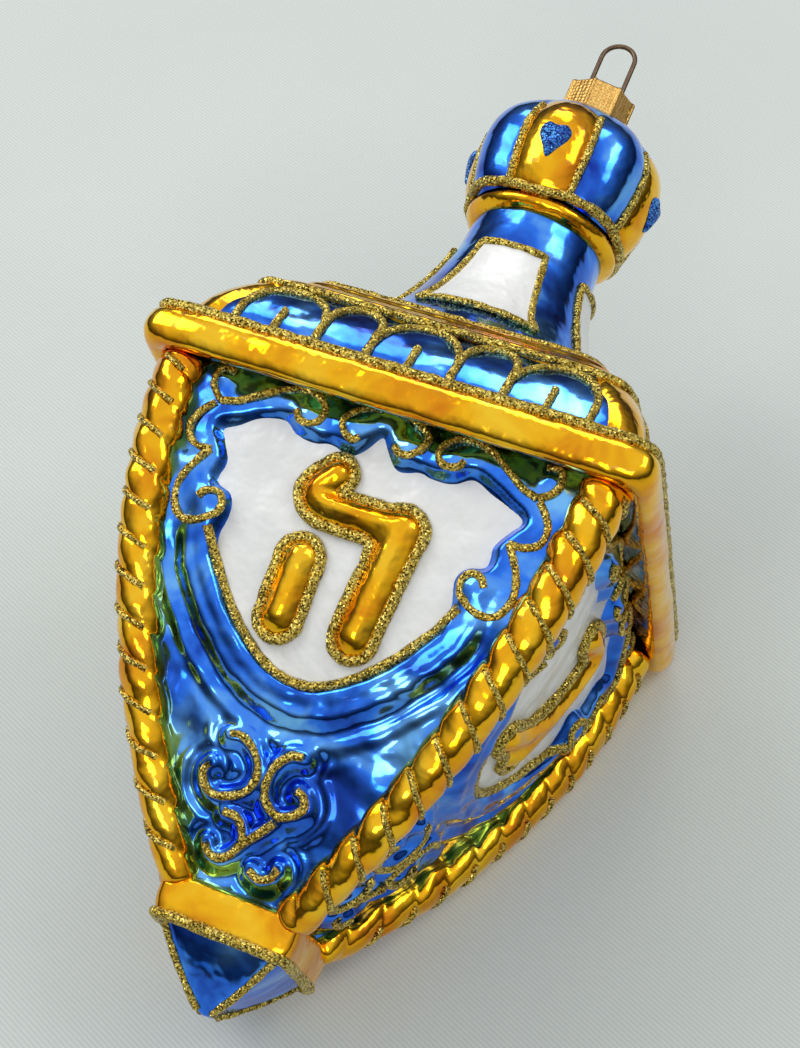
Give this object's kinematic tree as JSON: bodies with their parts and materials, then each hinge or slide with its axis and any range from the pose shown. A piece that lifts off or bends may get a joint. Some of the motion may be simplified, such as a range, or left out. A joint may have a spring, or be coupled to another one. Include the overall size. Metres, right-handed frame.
{
  "type": "dreidel ornament",
  "caption": "Hollow glass dreidel ornament: square body with rope corners, hipped roof, flared stem and lobed crown, hung by a wire loop through a crimped metal cap on its neck.",
  "frame": {"origin": "centre of the blunt tip, the lowest point of the upright ornament", "axes": "+Z from the tip up along the stem to the wire loop, -Y out of the front face, +X out of the right face"},
  "size_m": [0.0772, 0.0772, 0.1698],
  "materials": {
    "silvered_glass": "silvered inside, transparent blue and gold lacquer outside",
    "white_enamel": "opaque gloss enamel",
    "gold_glitter": "raised glue line covered with fine gold glitter",
    "blue_glitter": "raised glue drop covered with fine blue glitter",
    "cap_metal": "stamped sheet, dotted",
    "wire_metal": "bronze-coloured spring wire"
  },
  "bodies": {
    "shell": {"glass_body": "silvered_glass", "panel_enamel": "white_enamel", "stem_enamel": "white_enamel", "panel_outline_glitter": "gold_glitter", "stem_panel_glitter": "gold_glitter", "cornice_glitter_line": "gold_glitter", "roof_rim_glitter": "gold_glitter", "roof_arch_glitter": "gold_glitter", "collar_glitter_line": "gold_glitter", "tip_glitter_lines": "gold_glitter", "crown_band_glitter": "gold_glitter", "crown_rib_glitter": "gold_glitter", "crown_jewel_drops": "blue_glitter", "mark_glitter": "gold_glitter", "scroll_glitter": "gold_glitter"},
    "cap": {"hanger_cap": "cap_metal"},
    "wire": {"hanger_wire": "wire_metal"}
  },
  "joints": [
    {"name": "cap_lift", "type": "slide", "parent": "shell", "child": "cap", "axis": [0, 0, 1], "range_m": [0, 0.025]},
    {"name": "wire_draw", "type": "slide", "parent": "cap", "child": "wire", "axis": [0, 0, 1], "range_m": [0, 0.012]}
  ]
}
